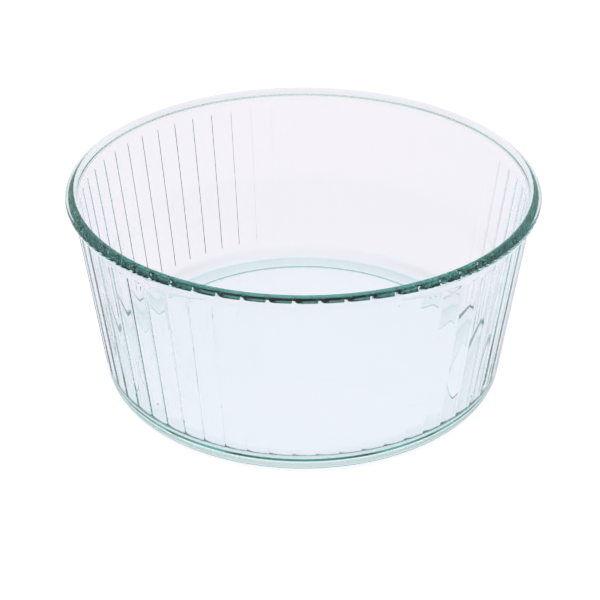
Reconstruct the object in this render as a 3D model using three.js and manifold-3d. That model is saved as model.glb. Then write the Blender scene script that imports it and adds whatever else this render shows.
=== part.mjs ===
// A round souffle dish pressed in one piece of clear, green-tinted glass.
// Lengths are in millimetres and +Z is up.
// The origin is the middle of the base, at the height of the table that the dish stands on.

import * as THREE from 'three';
import { mergeVertices } from 'three/addons/utils/BufferGeometryUtils.js';
import Module from 'manifold-3d';

// Driving dimensions of the dish
const rimDiameter = 220;
const dishHeight = 98;
const wallDraftDegrees = 6.5;
const wallThickness = 2.8;

// The rim: a plain neck, a soft fillet, a bead that turns in under the rim, and a wide rounded top
// that falls a little to the inside
const rimOverhang = 3.0;
const neckFillet = 2.3;
const lowerBeadRadius = 1.7;
const upperBeadRadius = 2.9;
const topTiltDegrees = 4.4;
const innerEdgeRadius = 1.7;

// The base: a flat foot ring round a shallow recess, and the rounded corners inside and out
const floorThickness = 5.1;
const heelRadius = 5.8;
const innerCornerRadius = 7.0;
const footWidth = 7.4;
const recessDepth = 1.7;
const recessSlope = 2.8;

// The reeds: shallow leaning ribs all round the wall. Each rises slowly out of its groove and then
// drops steeply into the next one. They are pressed mostly into the wall and stand out of it a little.
const reedCount = 60;
const reedDepth = 0.5;
const reedStandOff = 0.1;
const reedBottom = 11.5;
const reedTop = 88.6;
const reedRunOut = 1.2;
const reedColumnShares = [0, 0.22, 0.52, 0.955];
const crestShare = reedColumnShares.at(-1);

// How far the band of reeds and the plain body reach into each other where they meet
const seamOverlap = 0.15;

// How finely the round forms are cut into flat faces
const segmentsPerReed = 2;
const arcStepDegrees = 28;

// Wall geometry in the (radius, height) plane of the section
const draft = THREE.MathUtils.degToRad(wallDraftDegrees);
const alongWall = new THREE.Vector2(Math.sin(draft), Math.cos(draft));
const outOfWall = new THREE.Vector2(Math.cos(draft), -Math.sin(draft));
const rimRadius = rimDiameter / 2;
const widestHeight = dishHeight - upperBeadRadius;
const neckPoint = new THREE.Vector2(rimRadius - rimOverhang, widestHeight);

// Radius of the plain wall, depth millimetres under its outside, at a height
function wallRadius(height, depth = 0) {
  return neckPoint.x + (height - neckPoint.y) * Math.tan(draft) - depth / Math.cos(draft);
}

// A point at a height whose distance under the plain outside of the wall is the depth
function underWall(height, depth) {
  return new THREE.Vector2(wallRadius(height, depth), height);
}

// The direction at an angle in the plane of the section, counted from straight out
function direction(angle) {
  return new THREE.Vector2(Math.cos(angle), Math.sin(angle));
}

// Points along an arc, from one angle to another, in steps of about arcStepDegrees
function arc(centre, radius, fromAngle, toAngle) {
  const step = THREE.MathUtils.degToRad(arcStepDegrees);
  const count = Math.max(1, Math.ceil(Math.abs(toAngle - fromAngle) / step));
  return Array.from({ length: count + 1 }, (_, i) => {
    const angle = fromAngle + (toAngle - fromAngle) * i / count;
    return direction(angle).multiplyScalar(radius).add(centre);
  });
}

// The underside: a recess that steps down to the flat foot, and the heel that turns up into the wall
function baseOutline() {
  const heelCentre = underWall(heelRadius, heelRadius);
  const footInside = heelCentre.x - footWidth;
  return [
    new THREE.Vector2(0, recessDepth),
    new THREE.Vector2(footInside - recessSlope, recessDepth),
    new THREE.Vector2(footInside, 0),
    ...arc(heelCentre, heelRadius, -Math.PI / 2, -draft),
  ];
}

// The outside of the wall, cut back under the band of reeds so that the grooves stay open
function wallOutline() {
  const cutBack = reedDepth - reedStandOff + seamOverlap;
  return [
    underWall(reedBottom - reedRunOut, 0),
    underWall(reedBottom + reedRunOut, cutBack),
    underWall(reedTop - reedRunOut, cutBack),
    underWall(reedTop + reedRunOut, 0),
  ];
}

// The rim: the fillet out of the neck, the lower and upper bead, the tilted top and the inner edge,
// which touches both the top and the inside of the wall
function rimOutline() {
  const upper = new THREE.Vector2(rimRadius - upperBeadRadius, widestHeight);
  const lower = new THREE.Vector2(rimRadius - lowerBeadRadius, widestHeight);
  const standsOut = lower.clone().sub(neckPoint).dot(outOfWall);
  const reach = lowerBeadRadius + neckFillet;
  const side = neckFillet - standsOut;
  const fillet = lower.clone()
    .addScaledVector(outOfWall, side)
    .addScaledVector(alongWall, -Math.sqrt(Math.max(0, reach * reach - side * side)));
  const filletToBead = lower.clone().sub(fillet).angle();
  const topAngle = Math.PI / 2 + THREE.MathUtils.degToRad(topTiltDegrees);
  const topNormal = direction(topAngle);
  const fromWall = innerEdgeRadius - wallThickness;
  const fromTop = upper.clone().sub(neckPoint).dot(topNormal) + upperBeadRadius - innerEdgeRadius;
  const along = (fromTop - fromWall * outOfWall.dot(topNormal)) / alongWall.dot(topNormal);
  const innerEdge = neckPoint.clone()
    .addScaledVector(outOfWall, fromWall)
    .addScaledVector(alongWall, along);
  return [
    ...arc(fillet, neckFillet, Math.PI - draft, filletToBead),
    ...arc(lower, lowerBeadRadius, filletToBead - Math.PI, 0).slice(1),
    ...arc(upper, upperBeadRadius, 0, Math.PI / 2).slice(1),
    ...arc(upper, upperBeadRadius, Math.PI / 2, topAngle).slice(1),
    ...arc(innerEdge, innerEdgeRadius, topAngle, Math.PI - draft),
  ];
}

// The inside: down the plain inner wall, round the corner and across the flat floor
function insideOutline() {
  const corner = underWall(floorThickness + innerCornerRadius, wallThickness + innerCornerRadius);
  return [
    ...arc(corner, innerCornerRadius, -draft, -Math.PI / 2),
    new THREE.Vector2(0, floorThickness),
  ];
}

// The plain body without its reeds: the whole section turned once round +Z
function plainBody() {
  const outline = [...baseOutline(), ...wallOutline(), ...rimOutline(), ...insideOutline()];
  const geometry = new THREE.LatheGeometry(outline, reedCount * segmentsPerReed);
  return geometry.rotateX(Math.PI / 2);
}

// How far a reed stands out of the plain wall at a share of the way from its groove to the next:
// a parabola that starts at the bottom of the groove and is level at the crest
function reedRise(share) {
  const belowCrest = 1 - share / crestShare;
  return reedStandOff - reedDepth * belowCrest * belowCrest;
}

// A closed ring lofted through its sections, each of which gives a radius and a height
// for a share of the way round one reed
function ringLoft(sections) {
  const columnsPerReed = reedColumnShares.length;
  const columns = reedCount * columnsPerReed;
  const positions = [];
  for (let column = 0; column < columns; column += 1) {
    const share = reedColumnShares[column % columnsPerReed];
    const angle = 2 * Math.PI * (Math.floor(column / columnsPerReed) + share) / reedCount;
    for (const section of sections) {
      const point = section(share);
      positions.push(point.x * Math.sin(angle), -point.x * Math.cos(angle), point.y);
    }
  }
  const indices = [];
  const rows = sections.length;
  for (let column = 0; column < columns; column += 1) {
    const here = column * rows;
    const next = ((column + 1) % columns) * rows;
    for (let row = 0; row < rows; row += 1) {
      const above = (row + 1) % rows;
      indices.push(here + row, next + row, here + above);
      indices.push(next + above, here + above, next + row);
    }
  }
  const geometry = new THREE.BufferGeometry();
  geometry.setAttribute('position', new THREE.Float32BufferAttribute(positions, 3));
  geometry.setIndex(indices);
  return geometry;
}

// The band of reeds with its back buried in the wall. At both ends the reeds and the grooves
// run out into the plain wall.
function reedBand() {
  const buried = wallThickness / 2;
  const rise = (height) => (share) => underWall(height, -reedRise(share));
  const under = (height, depth) => () => underWall(height, depth);
  return ringLoft([
    under(reedBottom - reedRunOut, seamOverlap),
    rise(reedBottom + reedRunOut),
    rise(reedTop - reedRunOut),
    under(reedTop + reedRunOut, seamOverlap),
    under(reedTop + reedRunOut, buried),
    under(reedBottom - reedRunOut, buried),
  ]);
}

// Turns a closed mesh into a solid: only positions, merged, without the flat triangles at the poles
function toSolid(wasm, geometry) {
  const bare = geometry.clone();
  bare.deleteAttribute('normal');
  bare.deleteAttribute('uv');
  const merged = mergeVertices(bare);
  const corners = merged.index.array;
  const triangles = [];
  for (let i = 0; i < corners.length; i += 3) {
    const [a, b, c] = corners.slice(i, i + 3);
    if (a !== b && b !== c && c !== a) triangles.push(a, b, c);
  }
  return new wasm.Manifold(new wasm.Mesh({
    numProp: 3,
    vertProperties: new Float32Array(merged.attributes.position.array),
    triVerts: new Uint32Array(triangles),
  }));
}

// Turns a solid back into a geometry
function toGeometry(solid) {
  const mesh = solid.getMesh();
  const geometry = new THREE.BufferGeometry();
  geometry.setAttribute('position', new THREE.BufferAttribute(mesh.vertProperties, mesh.numProp));
  geometry.setIndex(new THREE.BufferAttribute(mesh.triVerts, 1));
  geometry.computeVertexNormals();
  return geometry;
}

const wasm = await Module();
wasm.setup();

// Clear glass with the green that its thick edges show
const tintedGlass = new THREE.MeshStandardMaterial({
  color: 0xd5efe9,
  roughness: 0.04,
  metalness: 0,
  transparent: true,
  opacity: 0.35,
});

const dish = new THREE.Mesh(
  toGeometry(toSolid(wasm, plainBody()).add(toSolid(wasm, reedBand()))),
  tintedGlass,
);
dish.name = 'glass_dish';

const souffleDish = new THREE.Group();
souffleDish.name = 'souffle_dish';
souffleDish.add(dish);

export default souffleDish;
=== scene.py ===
# %% [markdown]
# A souffle dish of pressed glass, as a lesson in cells.
# The real dish is one piece of clear, faintly green glass: a flat floor on a low foot ring, sides that
# open by a few degrees, sixty upright reeds pressed into the outside, and a rounded rim above a plain
# neck. Its look comes from three things: the fine grooves, the dark teal of the rim, where light runs
# far inside the glass, and the clear walls between them.
# It could be lathed and then carved, or built from a profile that is carried once round the axis.
# The second way is used here, because the reeds then are one more term in the radius.

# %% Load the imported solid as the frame
import math

import bpy
import numpy as np
from mathutils import Matrix, Vector


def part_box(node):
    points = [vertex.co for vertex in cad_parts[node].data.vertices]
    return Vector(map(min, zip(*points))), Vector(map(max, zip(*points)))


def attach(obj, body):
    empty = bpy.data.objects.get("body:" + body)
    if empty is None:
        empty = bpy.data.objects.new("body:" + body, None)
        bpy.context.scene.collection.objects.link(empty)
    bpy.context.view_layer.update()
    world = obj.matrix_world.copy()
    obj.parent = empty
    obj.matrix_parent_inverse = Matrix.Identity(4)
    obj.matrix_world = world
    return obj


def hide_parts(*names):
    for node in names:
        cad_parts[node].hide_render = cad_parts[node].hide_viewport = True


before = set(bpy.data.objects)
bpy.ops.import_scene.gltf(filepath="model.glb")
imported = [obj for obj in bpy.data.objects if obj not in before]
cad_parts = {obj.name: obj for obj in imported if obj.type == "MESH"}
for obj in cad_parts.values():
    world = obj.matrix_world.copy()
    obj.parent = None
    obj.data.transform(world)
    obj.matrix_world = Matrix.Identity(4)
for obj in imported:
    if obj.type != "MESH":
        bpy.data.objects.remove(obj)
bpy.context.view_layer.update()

MM = 0.001

# %% [markdown]
# The rim and the height are read from the solid's box, so that the glass fills the same space. The rest
# are a glass maker's drawing sizes in millimetres. The top of the rim falls outwards and its inner lip
# opens softly: light that enters there is led down the wall, and that makes the rim dark and teal.

# %% Sizes of the dish, in millimetres
box_low, box_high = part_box("glass_dish")
RIM_RADIUS = box_high.x / MM
DISH_HEIGHT = box_high.z / MM
WALL_DRAFT = math.radians(6.5)
WALL_THICKNESS = 2.8

RIM_OVERHANG = 3.0
OVERHANG_UNDER_TOP = 2.9
NECK_FILLET = 2.3
LOWER_BEAD_RADIUS = 1.5
UPPER_BEAD_RADIUS = 1.5
RIM_SIDE = 0.4
TOP_FALL = math.radians(30)
EDGE_RADIUS = 1.5
LIP_RADIUS = 15.0
LIP_OPENING = math.radians(20)

FLOOR_THICKNESS = 5.1
HEEL_RADIUS = 5.8
INNER_CORNER_RADIUS = 7.0
FOOT_WIDTH = 9.0
RECESS_DEPTH = 1.0
RECESS_SLOPE = 0.15

REED_COUNT = 60
REED_BOTTOM = 11.5
REED_TOP = 88.6
REED_RUN_OUT = 1.2
REED_DEPTH = 0.3
REED_STAND_OFF = 0.1
STEEP_FLANK_SHARE = 0.054
RISE_SHARE = 0.54
RISE_POWER = 2.0

print("rim radius", round(RIM_RADIUS, 2), "height", round(DISH_HEIGHT, 2))

# %% [markdown]
# The section is one line in the plane of radius and height. It starts on the axis under the dish, runs
# out to the foot, up the outside, over the rim, down the inside and back to the axis.
# Each of its points also holds how much of the reed relief it carries: none at the foot and the rim, all
# on the wall. The ends of the reeds are smooth steps of that share, as on a pressed reed.

# %% Helpers for the section
WIDEST_HEIGHT = DISH_HEIGHT - OVERHANG_UNDER_TOP
OUT_OF_WALL = np.array([math.cos(WALL_DRAFT), -math.sin(WALL_DRAFT)])
ALONG_WALL = np.array([math.sin(WALL_DRAFT), math.cos(WALL_DRAFT)])


def wall_radius(height, depth=0.0):
    """Radius of the plain wall at a height: a line that opens with the draft, less the depth under it."""
    plain = RIM_RADIUS - RIM_OVERHANG + (height - WIDEST_HEIGHT) * math.tan(WALL_DRAFT)
    return plain - depth / math.cos(WALL_DRAFT)


def smooth_step(t):
    """Rises from 0 to 1 with level ends: three t squared less two t cubed."""
    return t * t * (3 - 2 * t)


def rows(radius, height, share=0.0):
    """Section rows of radius, height and reed share, one per point."""
    radius, height = np.broadcast_arrays(np.asarray(radius, float), np.asarray(height, float))
    return np.stack([radius, height, np.broadcast_to(share, radius.shape)], -1)


def arc(centre, radius, start, end, steps):
    """A circular arc: the centre plus the radius times the cosine and sine of an even run of angles."""
    angle = np.linspace(start, end, steps + 1)
    return rows(centre[0] + radius * np.cos(angle), centre[1] + radius * np.sin(angle))


print("plain wall at the table", round(wall_radius(0), 2), "at the top", round(wall_radius(DISH_HEIGHT), 2))

# %% [markdown]
# Under the real dish the middle is lifted a little, so that only a ring of glass touches the table and the
# dish doesn't rock. The step up from the ring is steep, and its edge shows through the floor as a fine arc.
# It is a few points of the section here, and needs no cut.

# %% The underside, the heel and the wall
HEEL_STEPS = 10
REED_END_STEPS = 6


def underside():
    """A level recess, a steep step down to the foot ring, and a quarter turn up into the wall."""
    heel = (wall_radius(HEEL_RADIUS, HEEL_RADIUS), HEEL_RADIUS)
    foot_inside = heel[0] - FOOT_WIDTH
    recess = rows([0, foot_inside - RECESS_SLOPE], RECESS_DEPTH)
    return [recess, rows(foot_inside, 0), arc(heel, HEEL_RADIUS, -math.pi / 2, -WALL_DRAFT, HEEL_STEPS)]


def reeded_wall():
    """The outside of the wall, with a smooth step of the reed share at both ends of the reeds."""
    t = np.linspace(-1, 1, REED_END_STEPS + 1)
    share = smooth_step((t + 1) / 2)
    low = REED_BOTTOM + REED_RUN_OUT * t
    high = REED_TOP + REED_RUN_OUT * t
    return [rows(wall_radius(low), low, share), rows(wall_radius(high), high, 1 - share)]


outer_rows = np.vstack([*underside(), *reeded_wall()])
print("rows under and outside", len(outer_rows))

# %% [markdown]
# The rim is a chain of arcs, each tangent to the next, so it has no edge anywhere. It could be a bevelled
# box section, but then the highlights would break at every corner.
# Smooth shading blends the normals along a face. On a long flat step, such as the floor, that would tilt
# the light over the whole of it, so each long step gets a support row close to both of its ends.

# %% The rim and the inside
FILLET_STEPS = 6
BEAD_STEPS = 7
TOP_STEPS = 6
EDGE_STEPS = 9
LIP_STEPS = 6
CORNER_STEPS = 11
LONG_STEP = 2.0
SUPPORT_GAP = 0.06


def rim():
    """Arcs, each tangent to the next: neck fillet, lower bead, upper bead, inner edge and the open lip."""
    start_height = (
        DISH_HEIGHT - EDGE_RADIUS - (LIP_RADIUS - EDGE_RADIUS) * math.sin(LIP_OPENING)
        + LIP_RADIUS * math.sin(WALL_DRAFT)
    )
    start = np.array([wall_radius(start_height, WALL_THICKNESS), start_height])
    lip = start + LIP_RADIUS * OUT_OF_WALL
    out_of_lip = np.array([-math.cos(LIP_OPENING), math.sin(LIP_OPENING)])
    edge = lip + (LIP_RADIUS - EDGE_RADIUS) * out_of_lip
    top = math.pi / 2 - TOP_FALL
    top_normal = np.array([math.cos(top), math.sin(top)])
    upper_radius = RIM_RADIUS - UPPER_BEAD_RADIUS
    reach_up = top_normal @ edge + EDGE_RADIUS - UPPER_BEAD_RADIUS
    upper = np.array([upper_radius, (reach_up - top_normal[0] * upper_radius) / top_normal[1]])
    lower = np.array([RIM_RADIUS - LOWER_BEAD_RADIUS, upper[1] - RIM_SIDE])
    stands_out = (lower - [wall_radius(WIDEST_HEIGHT), WIDEST_HEIGHT]) @ OUT_OF_WALL
    side = NECK_FILLET - stands_out
    reach = LOWER_BEAD_RADIUS + NECK_FILLET
    fillet = lower + side * OUT_OF_WALL - math.sqrt(reach ** 2 - side ** 2) * ALONG_WALL
    meet = math.atan2(*(lower - fillet)[::-1])
    return [
        arc(fillet, NECK_FILLET, math.pi - WALL_DRAFT, meet, FILLET_STEPS),
        arc(lower, LOWER_BEAD_RADIUS, meet - math.pi, 0, BEAD_STEPS)[1:],
        arc(upper, UPPER_BEAD_RADIUS, 0, top, TOP_STEPS),
        arc(edge, EDGE_RADIUS, top, math.pi - LIP_OPENING, EDGE_STEPS),
        arc(lip, LIP_RADIUS, math.pi - LIP_OPENING, math.pi - WALL_DRAFT, LIP_STEPS)[1:],
    ]


def inside():
    """Down the plain inner wall, round the corner and in to the axis."""
    height = FLOOR_THICKNESS + INNER_CORNER_RADIUS
    corner = (wall_radius(height, WALL_THICKNESS + INNER_CORNER_RADIUS), height)
    turn = arc(corner, INNER_CORNER_RADIUS, -WALL_DRAFT, -math.pi / 2, CORNER_STEPS)
    return [turn, rows([corner[0] / 2, 0], FLOOR_THICKNESS)]


def with_support_rows(points):
    """Adds two rows to each long step: its start plus a small gap along it, and its end less that gap."""
    held = [points[0]]
    for start, end in zip(points[:-1], points[1:]):
        step = end - start
        length = math.hypot(step[0], step[1])
        if length > LONG_STEP:
            held += [start + step * SUPPORT_GAP / length, end - step * SUPPORT_GAP / length]
        held.append(end)
    return np.array(held)


section = with_support_rows(np.vstack([outer_rows, *rim(), *inside()]))
widest, highest = section[:, :2].max(axis=0).round(2)
print("section points", len(section), "widest", widest, "highest", highest)

# %% [markdown]
# The reeds are not symmetric. Each rises out of its groove in a soft curve, runs level, and ends in a
# steep flank that drops into the next groove. The photograph shows it: on the left every groove is a fine
# dark line, on the right the same grooves are broad soft bands.
# The relief is a function of one parameter, the place round one reed. The columns of the mesh lie close
# together at the groove and far apart on the smooth part, which keeps the flank crisp with few faces.

# %% Relief of one reed
FLANK_COLUMNS = 5
CREST_COLUMNS = 3
PANEL_COLUMNS = 8
PANEL_CROWDING = 1.5
FLANK_SOFTNESS = 0.5


def reed_relief(place):
    """Depth under the crest: a parabola over the first share, then level, then a steep soft flank."""
    along = place % 1.0
    panel = 1 - along / RISE_SHARE
    flank = np.clip((along - (1 - STEEP_FLANK_SHARE)) / STEEP_FLANK_SHARE, 0, 1)
    drop = FLANK_SOFTNESS * smooth_step(flank) + (1 - FLANK_SOFTNESS) * flank
    return -REED_DEPTH * np.maximum(np.clip(panel, 0, 1) ** RISE_POWER, drop)


panel_places = RISE_SHARE * np.linspace(0, 1, PANEL_COLUMNS + 1)[:-1] ** PANEL_CROWDING
crest_places = np.linspace(RISE_SHARE, 1 - STEEP_FLANK_SHARE, CREST_COLUMNS + 1)[:-1]
flank_places = 1 - STEEP_FLANK_SHARE * np.linspace(1, 0, FLANK_COLUMNS + 1)[:-1]
one_reed = np.unique(np.concatenate([panel_places, crest_places, flank_places]))
places = (np.arange(REED_COUNT)[:, None] + one_reed).ravel()
print("columns", len(places), "deepest", reed_relief(places).min().round(3), "mm")

# %% [markdown]
# The surface is a function of two parameters, the place round the dish and the point of the section.
# numpy works out the whole grid at once. The two ends of the section lie on the axis, so each is one
# vertex with a fan of triangles, and the body is closed. A Screw modifier could turn the section too, but
# it couldn't change the radius from one side of a reed to the other.

# %% The surface of the dish
def dish_surface():
    """Radius is the section's plus its share of the relief; the angle is the place times one pitch."""
    ring = section[1:-1]
    angle = 2 * math.pi * places / REED_COUNT
    relief = REED_STAND_OFF + reed_relief(places)
    radius = ring[:, 0] + relief[:, None] * ring[:, 2]
    x = radius * np.sin(angle)[:, None]
    y = -radius * np.cos(angle)[:, None]
    z = np.broadcast_to(ring[:, 1], radius.shape)
    poles = [[0, 0, section[0, 1]], [0, 0, section[-1, 1]]]
    return np.concatenate([np.stack([x, y, z], -1).reshape(-1, 3), poles]) * MM, radius.shape


def dish_faces(columns, points):
    """Each grid cell joins a column to the next one round the dish, and each pole joins two neighbours."""
    i = np.arange(columns)[:, None]
    j = np.arange(points - 1)
    here = i * points + j
    there = (i + 1) % columns * points + j
    quads = np.stack([here, there, there + 1, here + 1], -1).reshape(-1, 4)
    first = np.arange(columns) * points
    second = (np.arange(columns) + 1) % columns * points
    under = np.full(columns, columns * points)
    bottom = np.stack([under, second, first], -1)
    top = np.stack([first + points - 1, second + points - 1, under + 1], -1)
    return quads.tolist() + bottom.tolist() + top.tolist()


def make_mesh_object(name, vertices, faces):
    """Puts vertices and faces into a new object at the origin and shades it smooth."""
    mesh = bpy.data.meshes.new(name)
    mesh.from_pydata(vertices.tolist(), [], faces)
    mesh.update()
    mesh.polygons.foreach_set("use_smooth", [True] * len(mesh.polygons))
    made = bpy.data.objects.new(name, mesh)
    bpy.context.collection.objects.link(made)
    return made


vertices, grid = dish_surface()
dish = make_mesh_object("pressed_glass_dish", vertices, dish_faces(*grid))
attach(dish, "root")
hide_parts("glass_dish")
print("dish vertices", len(vertices), "faces", len(dish.data.polygons))

# %% [markdown]
# The glass is clear where the light crosses a wall and green where it runs a long way inside, along the
# rim and the heel. That is absorption, which grows with the length of the path, so it is a volume and not
# a surface colour. A sharp, fire-polished surface lets the rim pick up its bright and dark lines.
# Two details come from the mould. The ring that the dish stands on is stippled, so it is rough, and slow
# ripples a few hundredths of a millimetre high bend what is seen through the walls.

# %% Glass
ABSORPTION_PER_METRE = (14.0, 4.0, 5.0)
GLASS_INDEX = 1.47
UNDERSIDE_ROUGHNESS = 0.3
UNDERSIDE_TOP = 0.12
RIPPLE_SCALE = 38
RIPPLE_DETAIL = 1.0
RIPPLE_DEPTH = 0.03


def pressed_glass():
    """Clear surface with slow ripples over a volume that absorbs red over three times as fast as green."""
    material = bpy.data.materials.new("pressed_glass")
    material.use_nodes = True
    nodes = material.node_tree.nodes
    links = material.node_tree.links
    surface = nodes["Principled BSDF"]
    surface.inputs["Base Color"].default_value = (1, 1, 1, 1)
    surface.inputs["IOR"].default_value = GLASS_INDEX
    surface.inputs["Transmission Weight"].default_value = 1
    place = nodes.new("ShaderNodeTexCoord")
    parts = nodes.new("ShaderNodeSeparateXYZ")
    links.new(place.outputs["Object"], parts.inputs[0])
    stippled = nodes.new("ShaderNodeMapRange")
    stippled.inputs["From Min"].default_value = UNDERSIDE_TOP * MM
    stippled.inputs["From Max"].default_value = 2 * UNDERSIDE_TOP * MM
    stippled.inputs["To Min"].default_value = UNDERSIDE_ROUGHNESS
    stippled.inputs["To Max"].default_value = 0.0
    links.new(parts.outputs["Z"], stippled.inputs["Value"])
    links.new(stippled.outputs[0], surface.inputs["Roughness"])
    waves = nodes.new("ShaderNodeTexNoise")
    waves.inputs["Scale"].default_value = RIPPLE_SCALE
    waves.inputs["Detail"].default_value = RIPPLE_DETAIL
    links.new(place.outputs["Object"], waves.inputs["Vector"])
    ripple = nodes.new("ShaderNodeBump")
    ripple.inputs["Distance"].default_value = RIPPLE_DEPTH * MM
    links.new(waves.outputs["Fac"], ripple.inputs["Height"])
    links.new(ripple.outputs["Normal"], surface.inputs["Normal"])
    strongest = max(ABSORPTION_PER_METRE)
    body = nodes.new("ShaderNodeVolumeAbsorption")
    body.inputs["Density"].default_value = strongest
    kept = [1 - value / strongest for value in ABSORPTION_PER_METRE]
    body.inputs["Color"].default_value = (*kept, 1)
    links.new(body.outputs["Volume"], nodes["Material Output"].inputs["Volume"])
    return material


dish.data.materials.append(pressed_glass())
print("glass index", GLASS_INDEX, "absorption per metre", ABSORPTION_PER_METRE)

# %% [markdown]
# The floor is a plain pale table. What the camera sees of it directly is white. Seen through the glass it
# keeps the faint lavender of the paper, and it still takes the light shadow of the dish. It could be a
# curved backdrop, but from above only the level part would show, so it is one flat sheet.

# %% Floor
FLOOR_HALF = 6.0
FLOOR_GAP = 0.15
TABLE_COLOUR = (0.92, 0.875, 0.93, 1)
PAPER_GLOW = (0.97, 0.895, 0.985, 1)
PAPER_ROUGHNESS = 0.6
PAPER_SPECULAR = 0.1
PAPER_SEEN_THROUGH = 0.32
PAPER_SEEN_DIRECTLY = 0.5


def table_material():
    """Pale matt paper that also glows, more for what looks at it than for what it lights."""
    material = bpy.data.materials.new("pale_table")
    material.use_nodes = True
    nodes = material.node_tree.nodes
    links = material.node_tree.links
    paper = nodes["Principled BSDF"]
    paper.inputs["Base Color"].default_value = TABLE_COLOUR
    paper.inputs["Roughness"].default_value = PAPER_ROUGHNESS
    paper.inputs["Specular IOR Level"].default_value = PAPER_SPECULAR
    paper.inputs["Emission Color"].default_value = PAPER_GLOW
    rays = nodes.new("ShaderNodeLightPath")
    through = nodes.new("ShaderNodeMath")
    through.operation = "MAXIMUM"
    links.new(rays.outputs["Is Glossy Ray"], through.inputs[0])
    links.new(rays.outputs["Is Transmission Ray"], through.inputs[1])
    dimmed = nodes.new("ShaderNodeMath")
    dimmed.operation = "MULTIPLY"
    dimmed.inputs[1].default_value = PAPER_SEEN_THROUGH
    links.new(through.outputs[0], dimmed.inputs[0])
    glow = nodes.new("ShaderNodeMath")
    glow.operation = "MULTIPLY_ADD"
    glow.inputs[1].default_value = PAPER_SEEN_DIRECTLY
    links.new(rays.outputs["Is Camera Ray"], glow.inputs[0])
    links.new(dimmed.outputs[0], glow.inputs[2])
    links.new(glow.outputs[0], paper.inputs["Emission Strength"])
    return material


corners = np.array([[-1, -1], [1, -1], [1, 1], [-1, 1]]) * FLOOR_HALF
level = np.full((4, 1), -FLOOR_GAP * MM)
table = make_mesh_object("table", np.hstack([corners, level]), [[0, 1, 2, 3]])
table.data.materials.append(table_material())
print("table", FLOOR_HALF * 2, "metres across")

# %% [markdown]
# The light is a soft studio: white behind and above the dish, and dim in front of it, so that the edges of
# the glass turn dark. It could be a few large lamps, but a world whose strength is a smooth function of
# the direction has no lamp edges that would show in the glass.
# What a camera sees of it directly, past the end of the table, is plain white.

# %% World
BEHIND_STRENGTH = 0.88
FRONT_STRENGTH = 0.22
OVERHEAD_STRENGTH = 0.9
FRONT_ENDS = -0.2
BEHIND_STARTS = 0.3
OVERHEAD_STARTS = 0.65
OVERHEAD_FULL = 0.85


def soft_studio():
    """Strength rises from the front to the back, and blends into the overhead light towards the zenith."""
    world = bpy.data.worlds.new("soft_studio")
    bpy.context.scene.world = world
    world.use_nodes = True
    nodes = world.node_tree.nodes
    links = world.node_tree.links
    sky = nodes["Background"]
    sky.inputs["Color"].default_value = (1, 1, 1, 1)
    direction = nodes.new("ShaderNodeTexCoord")
    parts = nodes.new("ShaderNodeSeparateXYZ")
    links.new(direction.outputs["Generated"], parts.inputs[0])
    depth = nodes.new("ShaderNodeMapRange")
    depth.interpolation_type = "SMOOTHSTEP"
    depth.inputs["From Min"].default_value = FRONT_ENDS
    depth.inputs["From Max"].default_value = BEHIND_STARTS
    depth.inputs["To Min"].default_value = FRONT_STRENGTH
    depth.inputs["To Max"].default_value = BEHIND_STRENGTH
    links.new(parts.outputs["Y"], depth.inputs["Value"])
    height = nodes.new("ShaderNodeMapRange")
    height.interpolation_type = "SMOOTHSTEP"
    height.inputs["From Min"].default_value = OVERHEAD_STARTS
    height.inputs["From Max"].default_value = OVERHEAD_FULL
    links.new(parts.outputs["Z"], height.inputs["Value"])
    blend = nodes.new("ShaderNodeMix")
    blend.data_type = "FLOAT"
    links.new(height.outputs[0], blend.inputs["Factor"])
    links.new(depth.outputs[0], blend.inputs["A"])
    blend.inputs["B"].default_value = OVERHEAD_STRENGTH
    rays = nodes.new("ShaderNodeLightPath")
    shown = nodes.new("ShaderNodeMath")
    shown.operation = "MAXIMUM"
    links.new(blend.outputs[0], shown.inputs[0])
    links.new(rays.outputs["Is Camera Ray"], shown.inputs[1])
    links.new(shown.outputs[0], sky.inputs["Strength"])
    return world


print("world", soft_studio().name)

# %% [markdown]
# The camera stands where the photograph was taken from. It could be placed by eye, but then the ovals of
# the rim and the base wouldn't both agree with the photograph. So its place follows from fitting a pinhole
# camera to the outlines of the rim, the base and the grooves.

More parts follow.
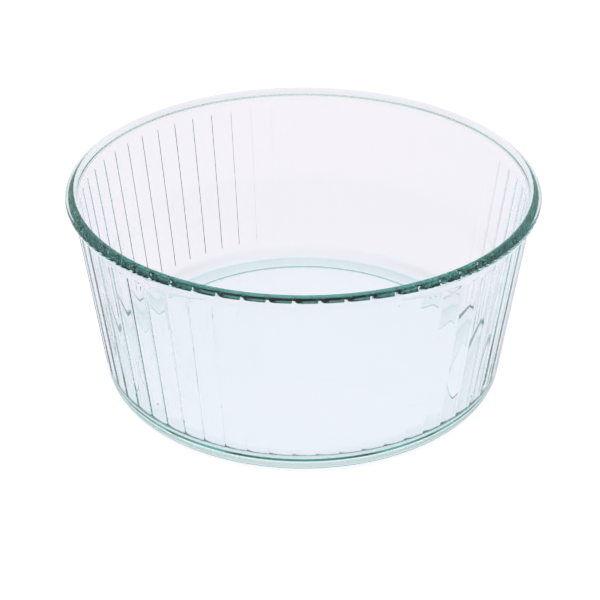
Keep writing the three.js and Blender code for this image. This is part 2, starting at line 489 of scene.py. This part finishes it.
# %% Camera
FOCAL_PIXELS = 1442.0
PICTURE_PIXELS = 600
CAMERA_DISTANCE = 722.0
CAMERA_ELEVATION = math.radians(33.44)
CAMERA_AZIMUTH = math.radians(2.49)
CAMERA_PITCH = math.radians(-1.312)
CAMERA_YAW = math.radians(-0.128)
AIM_HEIGHT = 50.0
SENSOR_WIDTH = 36.0
NEAREST_SEEN = 10.0


def level_axes(forward):
    """Right and up for a level camera that looks along forward."""
    right = forward.cross(Vector((0, 0, 1))).normalized()
    return right, right.cross(forward)


def photograph_camera():
    """Stands off by the distance and elevation, aims at the dish's middle, then turns by pitch and yaw."""
    data = bpy.data.cameras.new("camera")
    data.sensor_width = SENSOR_WIDTH
    data.lens = FOCAL_PIXELS / PICTURE_PIXELS * SENSOR_WIDTH
    data.clip_start = NEAREST_SEEN * MM
    camera = bpy.data.objects.new("camera", data)
    bpy.context.collection.objects.link(camera)
    back = Vector((0, -math.cos(CAMERA_ELEVATION), math.sin(CAMERA_ELEVATION)))
    place = back * CAMERA_DISTANCE * MM
    forward = (Vector((0, 0, AIM_HEIGHT * MM)) - place).normalized()
    right, up = level_axes(forward)
    forward = (forward + math.tan(CAMERA_PITCH) * up + math.tan(CAMERA_YAW) * right).normalized()
    right, up = level_axes(forward)
    turn = Matrix((right, up, -forward)).transposed().to_4x4()
    camera.matrix_world = Matrix.Rotation(CAMERA_AZIMUTH, 4, "Z") @ Matrix.Translation(place) @ turn
    return camera


scene = bpy.context.scene
scene.camera = photograph_camera()
scene.view_settings.view_transform = "Standard"
print("camera at", [round(v, 3) for v in scene.camera.matrix_world.translation])

# %% [markdown]
# Light crosses the wall many times before it leaves the rim, so the renderer needs room for long paths.

# %% Light paths
LONGEST_PATH = 48
scene.cycles.max_bounces = LONGEST_PATH
scene.cycles.transmission_bounces = LONGEST_PATH
scene.cycles.glossy_bounces = LONGEST_PATH // 2
scene.cycles.blur_glossy = 0
scene.cycles.sample_clamp_indirect = 0
print("longest path", LONGEST_PATH)
